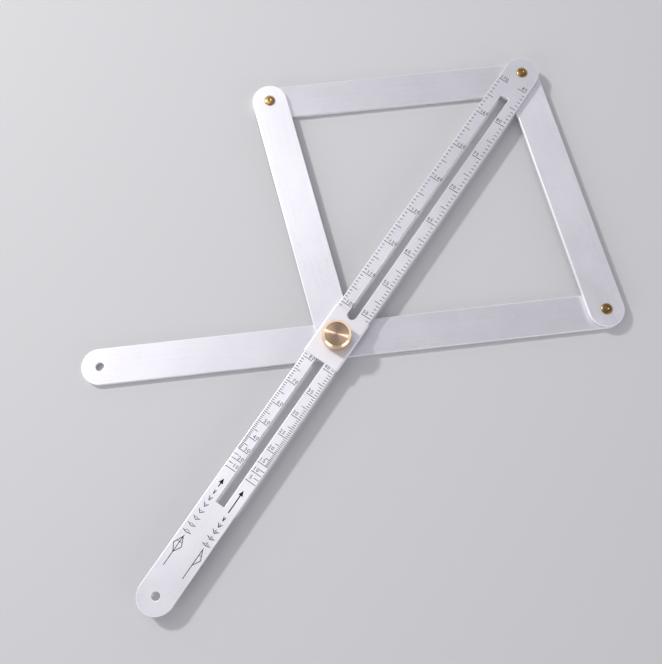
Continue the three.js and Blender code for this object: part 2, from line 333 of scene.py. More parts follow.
SCREW_HALF = 1.95
SLOT_HALF = SCREW_HALF + 0.1
SLOT_START = float(clamp_at(170)) - SCREW_HALF - 3.2
SLOT_END = float(clamp_at(10)) + SCREW_HALF + 1.3
SCALE_LENGTH = float(scale_high[0]) - BAR_HALF
slot_rim = edge_profile(BAR_THICK, 0.16, 0.14)
make_bar("scale_bar", TOP, CLAMP, SCALE_LENGTH, [
    *drilled((0, PIVOT_HOLE, plain), (SCALE_LENGTH, HANG_HOLE, hang_rim)),
    (*slot_hole(SLOT_START, SLOT_END, SLOT_HALF), *slot_rim)],
    "scale")

# %% [markdown]
# ## Turned pieces
# Rivets, washer and nut are round, so each is a profile turned about an axis. The profile is a list
# of (radius, height) points. Sharp corners get a tiny fillet of a few close rows, since metal never
# ends in a perfect corner and the fillet is what catches the light.

# %% Turning a profile
def filleted(corners, radius, steps=4):
    """A profile whose inner corners are rounded: each corner becomes a quadratic curve between
    points set back from it by the radius, or by less where the neighbouring sides are short."""
    corners = np.asarray(corners, float)
    before, here, after = corners[:-2], corners[1:-1], corners[2:]
    back, ahead = before - here, after - here
    back_length = np.linalg.norm(back, axis=1, keepdims=True)
    ahead_length = np.linalg.norm(ahead, axis=1, keepdims=True)
    reach = np.minimum(radius, 0.45 * np.minimum(back_length, ahead_length))
    a = here + back / back_length * reach
    b = here + ahead / ahead_length * reach
    t = np.linspace(0, 1, steps)[None, :, None]
    bend = (1 - t) ** 2 * a[:, None] + 2 * t * (1 - t) * here[:, None] + t ** 2 * b[:, None]
    return np.concatenate([corners[:1], bend.reshape(-1, 2), corners[-1:]])


def turned_grid(profile, steps, centre):
    """Points of a profile turned about a vertical axis, and the grid's faces. Both ends of the
    profile lie on the axis and become a single point each, joined by triangles."""
    body = profile[1:-1]
    ring = on_circle(arc(0, 360, steps + 1)[:-1])
    xy = body[:, None, :1] * ring[None] + centre
    z = np.repeat(body[:, 1], steps)
    points = np.column_stack([xy.reshape(-1, 2), z])
    ends = np.array([[*centre, profile[0, 1]], [*centre, profile[-1, 1]]])
    quads, corner_rc = grid_faces(len(body), steps)
    first, last = len(points), len(points) + 1
    c = np.arange(steps)
    low_fan = np.stack([np.full(steps, first), (c + 1) % steps, c], axis=1)
    top = (len(body) - 1) * steps
    high_fan = np.stack([np.full(steps, last), top + c, top + (c + 1) % steps], axis=1)
    return np.concatenate([points, ends]), quads, corner_rc, low_fan, high_fan


def unrolled(profile, steps, radius, corner_rc):
    """Flat map of a turned piece: distance round it at one radius, and distance along its profile.
    The seam column is given twice, once at each end of the map."""
    along = np.concatenate([[0], np.cumsum(np.linalg.norm(np.diff(profile, axis=0), axis=1))])
    full = 2 * np.pi * radius
    quads = np.column_stack([corner_rc[:, 1] / steps * full, along[1 + corner_rc[:, 0]]])
    c = np.arange(steps)
    parts = [quads]
    for turns, heights in (([c + 0.5, c + 1, c], [along[0], along[1], along[1]]),
                           ([c + 0.5, c, c + 1], [along[-1], along[-2], along[-2]])):
        across = np.stack(turns, axis=1) / steps * full
        parts.append(np.stack([across, np.tile(heights, (steps, 1))], axis=2).reshape(-1, 2))
    return np.concatenate(parts)


# %% [markdown]
# ## Rivets
# A brass rivet is set by a spinning punch. It leaves a low dome with a dimple in the middle and an
# edge that is never quite round. Its shank fills the holes, and its tail is hammered flush into the
# lowest bar.

# %% Three rivets
RIVET_RADIUS, HEAD_HEIGHT = 2.4, 0.8
SHANK_RADIUS, TAIL_RADIUS, TAIL_DEPTH = 1.5, 2.2, 0.7
HEAD_RIM, HEAD_RISE = 0.26, 0.46
RING_RISE, RING_AT, RING_WIDE = 0.05, 0.85, 0.2
DIMPLE_DEPTH, DIMPLE_RADIUS = 0.24, 0.52
RIM_WANDER, RIM_DROOP, RIM_FADE = 0.014, 0.018, 0.25


def make_rivet(node, centre, body, seed):
    """A flush tail, a shank and a dome. The dome falls with the fourth power of the radius, with a
    raised ring round a dimple, and its rim wanders by a few hundredths of a millimetre in slow
    waves."""
    head = box_mm(node)[1][2] - HEAD_HEIGHT
    r = np.linspace(RIVET_RADIUS, 0.0, 30)
    punched = RING_RISE * np.exp(-((r - RING_AT) / RING_WIDE) ** 2)
    dome = HEAD_RIM + HEAD_RISE * (1 - (r / RIVET_RADIUS) ** 4.0) + punched
    dome -= DIMPLE_DEPTH * np.exp(-((r / DIMPLE_RADIUS) ** 4))
    shape = filleted([(0, 0), (TAIL_RADIUS, 0), (SHANK_RADIUS, TAIL_DEPTH), (SHANK_RADIUS, head),
                      (RIVET_RADIUS, head), (RIVET_RADIUS, head + HEAD_RIM)], 0.06)
    profile = np.concatenate([shape[:-1], np.column_stack([r, head + dome])])
    steps = 96
    points, quads, corner_rc, low_fan, high_fan = turned_grid(profile, steps, centre)
    rng = np.random.default_rng(seed)
    away = points[:, :2] - centre
    a = np.arctan2(away[:, 1], away[:, 0])
    phase = rng.uniform(0, 2 * np.pi, 4)
    wave = sum(np.cos((k + 2) * a + phase[k]) / (k + 2) for k in range(4))
    share = np.clip((points[:, 2] - head) / RIM_FADE, 0, 1)
    share *= np.clip(np.hypot(*away.T) / RIVET_RADIUS, 0, 1)
    points[:, :2] -= away * (RIM_WANDER * (1 + wave) * share)[:, None]
    points[:, 2] -= RIM_DROOP * (1 + np.cos(a + phase[0])) * share
    flat = unrolled(profile, steps, RIVET_RADIUS, corner_rc)
    groups = [(quads, True, 0), (low_fan, True, 0), (high_fan, True, 0)]
    return make_piece("fine_" + node, points, groups, body, (node,), flat)


make_rivet("top_rivet", TOP, "scale", 11)
make_rivet("left_rivet", LEFT, "left_side", 12)
make_rivet("right_rivet", RIGHT, "right_side", 13)

# %% [markdown]
# ## Washer
# A flat ring under the nut keeps it from digging into the soft cursor. Its section is a small
# rectangle with rounded corners, and the turned grid closes on itself both ways.

# %% Clamp washer
washer_low, washer_high = box_mm("clamp_washer")
WASHER_OUT = (washer_high[0] - washer_low[0]) / 2
WASHER_SEAM = 3.2
WASHER_STEPS = 96
WASHER_MAP = [2 * np.pi * 4.5 / WASHER_STEPS, 0.5]
section = filleted([
    (WASHER_SEAM, washer_low[2]), (WASHER_OUT, washer_low[2]), (WASHER_OUT, washer_high[2]),
    (SCREW_HOLE, washer_high[2]), (SCREW_HOLE, washer_low[2]),
    (WASHER_SEAM, washer_low[2])], 0.12)[:-1]
ring = on_circle(arc(0, 360, WASHER_STEPS + 1)[:-1])
washer_xy = (section[:, None, :1] * ring[None] + CLAMP).reshape(-1, 2)
washer_points = np.column_stack([washer_xy, np.repeat(section[:, 1], WASHER_STEPS)])
washer_quads, washer_rc = grid_faces(len(section), WASHER_STEPS, up=True)
make_piece("fine_clamp_washer", washer_points, [(washer_quads, True, 0)], "clamp",
           ("clamp_washer",), washer_rc * WASHER_MAP)

# %% [markdown]
# ## Thumb nut
# The nut is turned from brass rod: a flat face with fine rings left by the lathe, a bright bevel,
# and a straight knurl pressed round it for grip. The radius is the smaller of two shapes, the
# turned outline and the toothed ring, which makes the scalloped line where the bevel runs off the
# knurl, as on the real one.

# %% Thumb nut
nut_low, nut_high = box_mm("thumb_nut")
NUT_RADIUS = 6.0
NUT_TOP, NUT_BASE = float(nut_high[2]), float(nut_low[2])
FACE_RADIUS = 4.9
BEVEL_DROP = 0.8
TEETH = 60
TOOTH_DEPTH = 0.25
STEPS_PER_TOOTH = 10
TOOTH_FLANK, TOOTH_ROUNDING = 1.25, 0.85
NUT_ROOF = 1.4
BORE_CHAMFER, BASE_CHAMFER = 0.25, 0.3


def nut_outline():
    """Profile from the end of the blind thread, down the bore, out under the base, up the side and
    over the bevel to the middle of the face. Extra rows stand where the bevel meets the teeth."""
    bore, deep, foot = SCREW_HOLE, NUT_TOP - NUT_ROOF, NUT_RADIUS - BASE_CHAMFER
    under = filleted([(0, deep), (bore, deep), (bore, NUT_BASE + BORE_CHAMFER),
                      (bore + BORE_CHAMFER, NUT_BASE), (foot, NUT_BASE)], 0.05)
    lower = np.column_stack([np.linspace(foot, NUT_RADIUS, 8),
                             NUT_BASE + np.linspace(0, BASE_CHAMFER, 8)])
    side = np.column_stack([np.full(8, NUT_RADIUS),
                            np.linspace(NUT_BASE + 0.5, NUT_TOP - BEVEL_DROP - 0.1, 8)])
    t = np.linspace(0, 1, 16) ** 1.3
    bevel = np.column_stack([NUT_RADIUS - t * (NUT_RADIUS - FACE_RADIUS - 0.05),
                             NUT_TOP - BEVEL_DROP + t * (BEVEL_DROP - 0.04)])
    lip = np.array([[FACE_RADIUS + 0.02, NUT_TOP - 0.015], [FACE_RADIUS - 0.03, NUT_TOP],
                    [FACE_RADIUS - 0.08, NUT_TOP]])
    face = np.column_stack([np.linspace(FACE_RADIUS - 0.3, 0, 14), np.full(14, NUT_TOP)])
    return np.concatenate([under, lower[1:], side, bevel, lip, face])


nut_profile = nut_outline()
nut_steps = TEETH * STEPS_PER_TOOTH
nut_points, nut_quads, nut_rc, nut_under, nut_middle = turned_grid(nut_profile, nut_steps, CLAMP)
away = nut_points[:, :2] - CLAMP
reach = np.hypot(*away.T)
angle = np.arctan2(away[:, 1], away[:, 0])
tooth = np.abs(2 * ((angle * TEETH / (2 * np.pi)) % 1) - 1)
tooth_reach = NUT_RADIUS - TOOTH_DEPTH * (1 - np.clip(TOOTH_FLANK * tooth, 0, 1)) ** TOOTH_ROUNDING
new_reach = np.minimum(reach, tooth_reach)
nut_points[:, :2] = CLAMP + away * (new_reach / np.maximum(reach, 1e-9))[:, None]
row_radius = nut_profile[1:-1, 0]
flat_rows = (row_radius <= FACE_RADIUS) & (nut_profile[1:-1, 1] > NUT_TOP - 0.001)
first_face_row = int(np.argmax(flat_rows))
on_face = np.repeat(np.arange(len(row_radius) - 1) >= first_face_row, nut_steps)
nut_flat = unrolled(nut_profile, nut_steps, NUT_RADIUS, nut_rc)
corners_on_face = np.repeat(on_face, 4)
quad_count = len(nut_quads) * 4
nut_flat = np.concatenate([nut_flat[:quad_count][~corners_on_face],
                           nut_flat[:quad_count][corners_on_face], nut_flat[quad_count:]])
make_piece("fine_thumb_nut", nut_points, [
    (nut_quads[~on_face], True, 0), (nut_quads[on_face], True, 1),
    (nut_under, True, 0), (nut_middle, True, 1)],
    "nut", ("thumb_nut",), nut_flat)

# %% [markdown]
# ## Cursor
# The cursor is a strip of sheet folded down over both edges of the scale bar. Its section is a line
# that turns through two bends. The strip is that line carried along the bar, with one edge pushed
# in where the round notch lets the reader see the slot. A small bevel afterwards stands for the
# broken edges.

# %% Cursor
cursor_low, cursor_high = box_mm("cursor")
SHEET = 0.6
BEND = 0.4
NOTCH_RADIUS = SLOT_HALF
NOTCH_DEPTH = 2.4


def cursor_section():
    """Middle line of the sheet in the plane across the bar, as (y, z), its outward direction, and
    the distance along it: up one skirt, round a bend, across, round the other bend and down."""
    half, top = cursor_high[1] - SHEET / 2, cursor_high[2] - SHEET / 2
    rise = np.linspace(cursor_low[2], top - BEND, 5)[:-1]
    round_bend = on_circle(arc(180, 90, 11))
    left = np.concatenate([np.column_stack([np.full(4, -half), rise]),
                           round_bend * BEND + [BEND - half, top - BEND]])
    out_left = np.concatenate([np.tile([-1.0, 0.0], (4, 1)), round_bend])
    sweep = NOTCH_RADIUS * np.sin(arc(-90, 90, 33))
    beside = np.linspace(NOTCH_RADIUS + 0.015, half - BEND, 9)[:-1]
    across = np.concatenate([-beside[::-1], sweep, beside])
    mirror = [-1.0, 1.0]
    flat_top = np.column_stack([across, np.full(len(across), top)])
    line = np.concatenate([left, flat_top, left[::-1] * mirror])
    out_top = np.tile([0.0, 1.0], (len(across), 1))
    outward = np.concatenate([out_left, out_top, out_left[::-1] * mirror])
    along = np.concatenate([[0], np.cumsum(np.linalg.norm(np.diff(line, axis=0), axis=1))])
    return line, outward, along


def cursor_start(y, z):
    """Where the sheet begins along the bar: its straight edge, or the round notch where it is
    cut."""
    flat_part = z > cursor_high[2] - SHEET / 2 - 1e-6
    inside = flat_part & (np.abs(y) <= NOTCH_RADIUS + 1e-6)
    bottom = NOTCH_DEPTH - NOTCH_RADIUS + np.sqrt(np.maximum(NOTCH_RADIUS ** 2 - y ** 2, 0))
    return cursor_low[0] + np.where(inside, bottom, 0.0)


line, outward, along = cursor_section()
columns = len(line)
lengthwise = np.linspace(0, 1, 5)
begin = cursor_start(line[:, 0], line[:, 1])
x_skin = begin[None] + (cursor_high[0] - begin[None]) * lengthwise[:, None]


def skin(side):
    """One face of the sheet as rows of points. side is 1 on the outside and -1 on the inside."""
    edge = line + side * outward * SHEET / 2
    return np.dstack([x_skin, *(np.broadcast_to(edge[:, i], x_skin.shape) for i in (0, 1))])


tube = np.concatenate([skin(1), skin(-1)[::-1]], axis=0)
tube_rows = len(tube)
cursor_quads = grid_faces(tube_rows, columns, around=False, up=True)[0][:, ::-1]
half_rows = tube_rows // 2
k = np.arange(half_rows - 1)


def end_cap(column, flip):
    """Closes one end of the folded strip: each quad joins two outer points to the two inner
    ones."""
    rows = np.stack([k, k + 1, tube_rows - 2 - k, tube_rows - 1 - k], axis=1) * columns + column
    return rows[:, ::-1] if flip else rows


cursor_map = np.column_stack([tube[..., 0].ravel(), np.tile(along, tube_rows)])
cursor_faces = np.concatenate([cursor_quads, end_cap(0, True), end_cap(columns - 1, False)])
cursor = make_piece("fine_cursor", tube.reshape(-1, 3), [(cursor_faces, True, 0)],
                    "clamp", ("cursor",), cursor_map)
broken_edge = cursor.modifiers.new("broken_edge", "BEVEL")
broken_edge.width = 0.09 * MM
broken_edge.segments = 2
broken_edge.limit_method = "ANGLE"
broken_edge.angle_limit = np.radians(50)
broken_edge.harden_normals = True
print("cursor section is", round(float(along[-1]), 2), "mm of sheet round the bends")

# %% [markdown]
# ## Printed marks as thin solids
# The scale is screen printed: a skin of ink a few hundredths of a millimetre thick. Every mark here
# is a thin closed solid that stands 0.02 mm proud, so the print is real geometry. Straight marks
# are boxes that are all worked out together, and numerals are solids made once for each digit and
# then repeated.

# %% Ink helpers
INK_PROUD = 0.02
INK_SUNK = 0.02
SQUARE = ((-1, -1), (1, -1), (1, 1), (-1, 1))
UNIT_BOX = np.array([[x, y, z] for z in (0, 1) for x, y in SQUARE], float)
BOX_FACES = np.array([[0, 3, 2, 1], [4, 5, 6, 7], [0, 1, 5, 4],
                      [1, 2, 6, 5], [2, 3, 7, 6], [3, 0, 4, 7]])
ink_points, ink_quads, ink_triangles = [], [], []


def add_ink(points, quads=None, triangles=None):
    """Adds solids to the print. Points are (x, y, 0 at the back or 1 at the front)."""
    first = sum(len(earlier) for earlier in ink_points)
    placed = np.array(points, float)
    placed[:, 2] = SCALE_TOP - INK_SUNK + placed[:, 2] * (INK_SUNK + INK_PROUD)
    ink_points.append(placed)
    if quads is not None:
        ink_quads.append(quads + first)
    if triangles is not None:
        ink_triangles.append(triangles + first)


def strokes(starts, ends, width):
    """Straight marks from starts to ends, each a box: along its line times the unit box's first
    coordinate, and half the width sideways times its second."""
    starts, ends = np.atleast_2d(starts).astype(float), np.atleast_2d(ends).astype(float)
    half = (ends - starts) / 2
    length = np.linalg.norm(half, axis=1, keepdims=True)
    side = np.column_stack([-half[:, 1], half[:, 0]]) / length * np.reshape(width, (-1, 1)) / 2
    xy = (starts + half)[:, None] + UNIT_BOX[None, :, :1] * half[:, None]
    xy = xy + UNIT_BOX[None, :, 1:2] * side[:, None]
    z = np.broadcast_to(UNIT_BOX[None, :, 2:], (*xy.shape[:2], 1))
    quads = BOX_FACES[None] + 8 * np.arange(len(starts))[:, None, None]
    add_ink(np.concatenate([xy, z], axis=2).reshape(-1, 3), quads=quads.reshape(-1, 4))


def prism(corners):
    """A flat shape with straight sides, such as an arrow head: its corners, anticlockwise, as a
    solid."""
    corners = np.asarray(corners, float)
    n = len(corners)
    points = np.concatenate([np.column_stack([corners, np.full(n, z)]) for z in (0, 1)])
    i = np.arange(n)
    fan = np.stack([np.zeros(n - 2, int), i[1:-1], i[2:]], axis=1)
    walls = np.stack([i, (i + 1) % n, (i + 1) % n + n, i + n], axis=1)
    add_ink(points, quads=walls, triangles=np.concatenate([fan[:, ::-1], fan + n]))


# %% [markdown]
# A scale like this is laid out by the linkage itself. The reading edge is the cursor's end nearest
# the top pivot, so the mark for an angle stands 11.7 mm before the place of the clamp at that
# angle. One side of the bar reads the included angle, the other reads half of it, and both share
# the same marks.

# %% Degree marks
READING_EDGE = 11.7
LOWER, UPPER = -1.0, 1.0
OUTER_Y = BAR_HALF - 0.3
FINE, STRONG = 0.23, 0.24
SHORT_TICK, MEDIUM_TICK, LONG_TICK = 1.35, 2.9, 4.6
SLOT_MARGIN = 0.35
MARK_15, MARK_10 = 212.4, 214.5
TOP_MARK_OUTER, TOP_MARK_INNER = 6.4, 2.5
every = np.arange(30, 171)


def mark_at(included):
    """Place of a mark: the clamp's place at that angle less the distance to the reading edge. The
    last two marks are set further apart than that, as the printer does so that their numbers have
    room."""
    law = clamp_at(included) - READING_EDGE
    return np.where(np.equal(included, 10), MARK_10, np.where(np.equal(included, 15), MARK_15, law))


mark_x = mark_at(every)
tick = np.where(every % 10 == 0, LONG_TICK, np.where(every % 5 == 0, MEDIUM_TICK, SHORT_TICK))
tick_width = np.where(every % 10 == 0, STRONG, FINE)
for side in (LOWER, UPPER):
    shown = (every < 170) | (side == LOWER)
    outer_end = np.full(len(every), side * OUTER_Y)
    inner_end = side * (OUTER_Y - tick)
    inner_end[every == 30] = side * (SLOT_HALF + SLOT_MARGIN)
    strokes(np.column_stack([mark_x, outer_end])[shown],
            np.column_stack([mark_x, inner_end])[shown], tick_width[shown])
    for included, share in ((25, 0.45), (20, 1.0), (15, 0.45), (10, 1.0)):
        x = float(mark_at(included))
        inner = OUTER_Y - share * (OUTER_Y - SLOT_HALF - SLOT_MARGIN)
        strokes([x, side * OUTER_Y], [x, side * inner], STRONG if share == 1.0 else FINE)
top_mark = float(mark_at(170))
strokes([top_mark, TOP_MARK_OUTER], [top_mark, TOP_MARK_INNER], STRONG)
print(len(every), "degree marks a side, from x", round(mark_x[-1], 1), "to", round(mark_x[0], 1))

# %% [markdown]
# Numerals are set with Blender's own font, turned into a solid and cleaned, before they take their
# places. Each digit is made once, scaled to a height of one, and its points are then copied for
# every use.

# %% Digits
def digit_solid(sign):
    """A digit as (points, triangles, width), one unit high, its back at z 0 and its front at z
    1."""
    curve = bpy.data.curves.new("digit", "FONT")
    curve.body = sign
    curve.extrude = 0.5
    curve.resolution_u = 3
    holder = into_scene("digit", curve)
    finished = holder.evaluated_get(bpy.context.evaluated_depsgraph_get())
    mesh = bpy.data.meshes.new_from_object(finished)
    mesh.calc_loop_triangles()
    points = np.empty(len(mesh.vertices) * 3)
    mesh.vertices.foreach_get("co", points)
    corners = np.empty(len(mesh.loop_triangles) * 3, int)
    mesh.loop_triangles.foreach_get("vertices", corners)
    bpy.data.objects.remove(holder)
    bpy.data.curves.remove(curve)
    bpy.data.meshes.remove(mesh)
    unique, renumber = np.unique(points.reshape(-1, 3).round(4), axis=0, return_inverse=True)
    triangles = renumber.reshape(-1)[corners].reshape(-1, 3)
    distinct = np.array([len(set(t)) == 3 for t in triangles.tolist()])
    low, high = unique.min(0), unique.max(0)
    size = high[1] - low[1]
    scaled = (unique - low) / [size, size, high[2] - low[2]]
    return scaled, triangles[distinct], (high[0] - low[0]) / size


digits = {sign: digit_solid(sign) for sign in "0123456789"}
NUMERAL_HEIGHT = 1.5
NUMERAL_PITCH = 1.36


def numeral(value, x, y):
    """Writes a number across the bar, reading towards +y with its head towards the top pivot. Its
    middle is at y, and its foot is at x."""
    signs = [digits[s] for s in str(value)]
    middles = y + (np.arange(len(signs)) - (len(signs) - 1) / 2) * NUMERAL_PITCH
    for (points, triangles, width), middle in zip(signs, middles):
        across = middle + (points[:, 0] - width / 2) * NUMERAL_HEIGHT
        placed = np.column_stack([x - points[:, 1] * NUMERAL_HEIGHT, across, points[:, 2]])
        add_ink(placed, triangles=triangles)


# A row of numbers is what it divides the angle by, how far its feet stand from the marks, and its
# place across the bar, at 170 degrees and elsewhere.
NUMBER_ROWS = ((1, 0.5, -4.9, -3.5), (2, 0.7, 5.35, 3.8))
LAST_FOOT = 1.1
for included in range(10, 180, 10):
    mark = float(mark_at(included))
    for divisor, foot, across_first, across in NUMBER_ROWS:
        foot_x = mark - (LAST_FOOT if included == 10 else foot)
        numeral(included // divisor, foot_x, across_first if included == 170 else across)
print("numerals from 10 to 170, and their halves on the other side")

# %% [markdown]
# ## Symbols by the tail
# Each row of numbers is explained by a symbol near the hanging hole. The drawn set here is a plain
# one: an arrow towards the numbers, a row of small angles that open step by step, and a little plan
# of the folding rhombus. On the half-angle side each small angle has its bisector, and the plan
# shows one half.

# %% Arrows, small angles and plans
HEAD_LONG, HEAD_HALF, SHAFT, SHAFT_LAP = 2.2, 0.95, 0.45, 0.05
LEG, BISECTOR, BOW = 1.9, 1.75, 1.05
LEG_LINE, THIN_LINE, PLAN_LINE, BAR_LINE = 0.26, 0.16, 0.28, 0.2
PLAN_WIDEST, PLAN_FOOT, PLAN_WING = 3.8, 6.8, 1.8
PLAN_BAR, PLAN_BAR_HALF = 2.4, 1.0
AXIS_BEFORE, AXIS_AFTER = 0.6, 6.0


def arrow(tip, tail, y):
    """An arrow along the bar that points to the top pivot: a triangle and a shaft."""
    prism([[tip, y], [tip + HEAD_LONG, y - HEAD_HALF], [tip + HEAD_LONG, y + HEAD_HALF]])
    strokes([tip + HEAD_LONG - SHAFT_LAP, y], [tail, y], SHAFT)


def small_angle(x, y, opening, bisected):
    """Two short legs from one corner, opening by the angle, and if wanted the line that halves
    it."""
    a = np.radians([opening / 2, -opening / 2] + ([0.0] if bisected else []))
    halving = np.arange(len(a)) == 2
    reach = np.where(halving, BISECTOR, LEG)
    ends = np.column_stack([x - reach * np.cos(a), y + reach * np.sin(a)])
    strokes(np.tile([x, y], (len(a), 1)), ends, np.where(halving, THIN_LINE, LEG_LINE))
    swing = np.radians(np.linspace(-opening / 2, opening / 2, 7))
    bow = np.column_stack([x - BOW * np.cos(swing), y + BOW * np.sin(swing)])
    strokes(bow[:-1], bow[1:], THIN_LINE)


def plan(x, y, half):
    """A plan of the rhombus seen small: a kite on its axis, or the half of it towards the slot."""
    foot, bar = x + PLAN_FOOT, x + PLAN_BAR
    for wing in (1,) if half else (1, -1):
        corners = np.array([[x, y], [x + PLAN_WIDEST, y + PLAN_WING * wing], [foot, y]])
        strokes(corners[:-1], corners[1:], PLAN_LINE)
        strokes([bar, y], [bar, y + PLAN_BAR_HALF * wing], BAR_LINE)
    strokes([x - AXIS_BEFORE, y], [foot + AXIS_AFTER, y], PLAN_LINE)


ROW_LOW, ROW_HIGH = -4.5, 4.6
LOW_ARROW, HIGH_ARROW = (219.0, 222.8), (218.6, 228.8)
LOW_ANGLES, HIGH_ANGLES, ANGLES_END = 226.2, 232.6, 243.6
PLAN_AT = 245.4
arrow(*LOW_ARROW, ROW_LOW)
arrow(*HIGH_ARROW, ROW_HIGH)
for place, opening in zip(np.linspace(LOW_ANGLES, ANGLES_END, 7), np.linspace(20, 150, 7)):
    small_angle(place, ROW_LOW, opening, False)
for place, opening in zip(np.linspace(HIGH_ANGLES, ANGLES_END, 5), np.linspace(30, 150, 5)):
    small_angle(place, ROW_HIGH, opening, True)
plan(PLAN_AT, ROW_LOW, False)
plan(PLAN_AT, ROW_HIGH, True)
print("symbols drawn")

# %% Put the print on the bar
every_point = np.concatenate(ink_points)
make_piece("scale_print", every_point,
           [(np.concatenate(ink_quads), False, 0), (np.concatenate(ink_triangles), False, 0)],
           "scale", (), every_point[:, :2])

# %% [markdown]
# ## Building finishes from nodes
# Every finish is worked out by nodes from the piece's own flat map, in millimetres, so a grain of a
# tenth of a millimetre stays that size on every piece. A small helper adds one node and wires it,
# which keeps each recipe short enough to read.

# %% Node helper
def new_finish(name):
    """An empty node material with its output. Gives the material, its tree and its output node."""
    material = bpy.data.materials.new(name)
    material.use_nodes = True
    tree = material.node_tree
    tree.nodes.clear()
    return material, tree, tree.nodes.new("ShaderNodeOutputMaterial")


def add(tree, kind, inputs=None, **settings):
    """Adds a node. An input that is a socket is wired in, and any other value is set on the
    socket."""
    made = tree.nodes.new("ShaderNode" + kind)
    for key, value in settings.items():
        setattr(made, key, value)
    for key, value in (inputs or {}).items():
        if isinstance(value, bpy.types.NodeSocket):
            tree.links.new(value, made.inputs[key])
        else:
            made.inputs[key].default_value = value
    return made


def math_of(operation, first, second=0.0):
    """One arithmetic step between two values."""
    return add(first.id_data, "Math", {0: first, 1: second}, operation=operation).outputs[0]


def times(first, second):
    """Two values multiplied."""
    return math_of("MULTIPLY", first, second)


def plus(first, second):
    """Two values added."""
    return math_of("ADD", first, second)


def ranged(value, low, high, to_low=0.0, to_high=1.0):
    """Stretches a value from one range to another, and stops at the ends."""
    limits = {"Value": value, "From Min": low, "From Max": high, "To Min": to_low, "To Max": to_high}
    return add(value.id_data, "MapRange", limits).outputs["Result"]


def mixed(share, first, second):
    """Mixes two colours by a share."""
    tree = share.id_data
    node = add(tree, "Mix", {"Factor": share}, data_type="RGBA")
    for socket, value in ((node.inputs[6], first), (node.inputs[7], second)):
        if isinstance(value, bpy.types.NodeSocket):
            tree.links.new(value, socket)
        else:
            socket.default_value = value
    return node.outputs[2]


def noise(place, scale, detail=2.0, roughness=0.5, stretch=(1, 1, 1), shift=(0, 0, 0)):
    """Noise on the flat map, stretched along the grain. Gives a value from 0 to 1."""
    tree = place.id_data
    laid = add(tree, "Mapping", {"Vector": place, "Location": shift, "Scale": stretch}).outputs[0]
    return add(tree, "TexNoise", {"Vector": laid, "Scale": scale, "Detail": detail,
                                  "Roughness": roughness}).outputs[0]


def flat_place(tree):
    """The piece's flat map, in millimetres."""
    return add(tree, "UVMap", uv_map="flat_mm").outputs[0]


def bumped(height, strength, depth):
    """A relief whose full height is depth millimetres."""
    relief = {"Height": height, "Strength": strength, "Distance": depth * MM}
    return add(height.id_data, "Bump", relief).outputs[0]


def surface(tree, out, inputs):
    """The principled shader with these inputs, wired to the output."""
    tree.links.new(add(tree, "BsdfPrincipled", inputs).outputs[0], out.inputs[0])


def coat(name, *finishes):
    """Lays finishes on a piece, in the order of the material numbers of its faces."""
    for finish in finishes:
        pieces_made[name].data.materials.append(finish)


# %% [markdown]
# ## Satin aluminium
# The bars are drawn strip, brushed lengthways, then anodised: a satin silver with a faint cool
# tint. Up close the finish has four layers, and the recipe has the same four: long brushed streaks,
# a fine matt grain from the anodising bath, a few scuffs and specks from use, and brighter metal on
# the rolled edges.

# %% Satin aluminium
MARK_TINT = (0.2, 0.2, 0.22, 1.0)
WORN_TINT = (0.93, 0.93, 0.95, 1.0)


